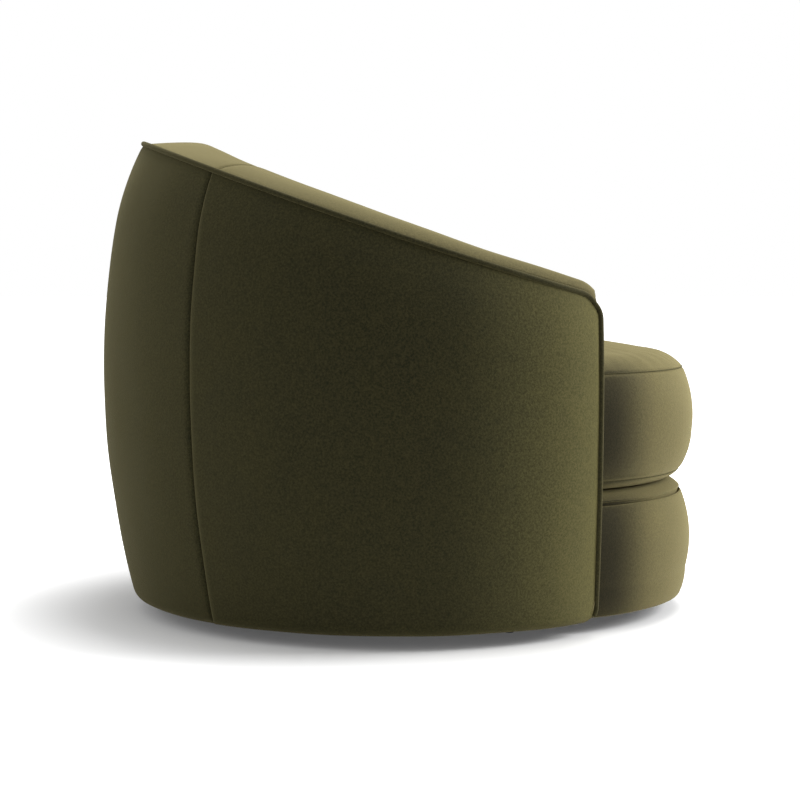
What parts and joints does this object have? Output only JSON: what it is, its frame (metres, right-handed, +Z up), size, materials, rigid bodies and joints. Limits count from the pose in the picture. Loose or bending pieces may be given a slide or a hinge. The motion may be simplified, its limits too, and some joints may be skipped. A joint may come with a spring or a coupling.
{
  "type": "swivel armchair",
  "caption": "Round-backed barrel armchair in olive velvet with a loose round seat cushion, on a hidden swivel base.",
  "frame": {"origin": "on the floor under the swivel axis, which is also the middle of the part's outline in plan", "axes": "-Y is the chair's front, +X the sitter's left, +Z up along the swivel axis"},
  "size_m": [0.9316, 0.9362, 0.736],
  "materials": {
    "velvet": "matte",
    "piping_velvet": "matte",
    "plywood": "matte",
    "fibreboard": "matte",
    "webbing": "matte",
    "dust_cloth": "matte",
    "black_steel": "satin",
    "zinc_steel": "satin",
    "nylon": "satin",
    "black_plastic": "satin"
  },
  "bodies": {
    "base": {"floor_glides": "black_plastic", "base_long_bar": "black_steel", "base_short_bar_left": "black_steel", "base_short_bar_right": "black_steel", "bar_end_caps": "black_plastic", "lower_plate": "black_steel", "nylon_ring": "nylon", "pivot_pin": "zinc_steel"},
    "chair": {"arm_front_rib_left": "plywood", "arm_front_rib_right": "plywood", "arm_middle_rib_left": "plywood", "arm_middle_rib_right": "plywood", "back_middle_rib": "plywood", "back_rib_left": "plywood", "back_rib_right": "plywood", "back_strap_high": "webbing", "back_strap_low": "webbing", "back_strap_middle": "webbing", "back_strap_top": "webbing", "bottom_board": "plywood", "corner_rib_left": "plywood", "corner_rib_right": "plywood", "dust_cover": "dust_cloth", "front_strut_centre": "plywood", "front_strut_left": "plywood", "front_strut_right": "plywood", "inner_arm_pad_left": "velvet", "inner_arm_pad_right": "velvet", "inner_back_pad": "velvet", "middle_former": "plywood", "outer_back_panel": "velvet", "outer_side_panel_left": "velvet", "outer_side_panel_right": "velvet", "piping": "piping_velvet", "plate_bolts": "zinc_steel", "plate_nuts": "zinc_steel", "seat_base_band": "velvet", "seat_deck": "velvet", "seat_ring": "plywood", "seat_web_across_1": "webbing", "seat_web_across_2": "webbing", "seat_web_across_3": "webbing", "seat_web_across_4": "webbing", "seat_web_along_1": "webbing", "seat_web_along_2": "webbing", "seat_web_along_3": "webbing", "seat_web_along_4": "webbing", "shell_liner": "fibreboard", "swivel_board": "plywood", "top_rail": "plywood", "upper_former": "plywood", "upper_plate": "black_steel", "upper_race": "black_steel"},
    "cushion": {"seat_cushion": "velvet"}
  },
  "joints": [
    {"name": "swivel", "type": "hinge", "parent": "base", "child": "chair", "pos_m": [0, 0, 0.034], "axis": [0, 0, 1], "continuous": true},
    {"name": "cushion_lift", "type": "slide", "parent": "chair", "child": "cushion", "axis": [0, 0, 1], "range_m": [0, 0.4]}
  ]
}
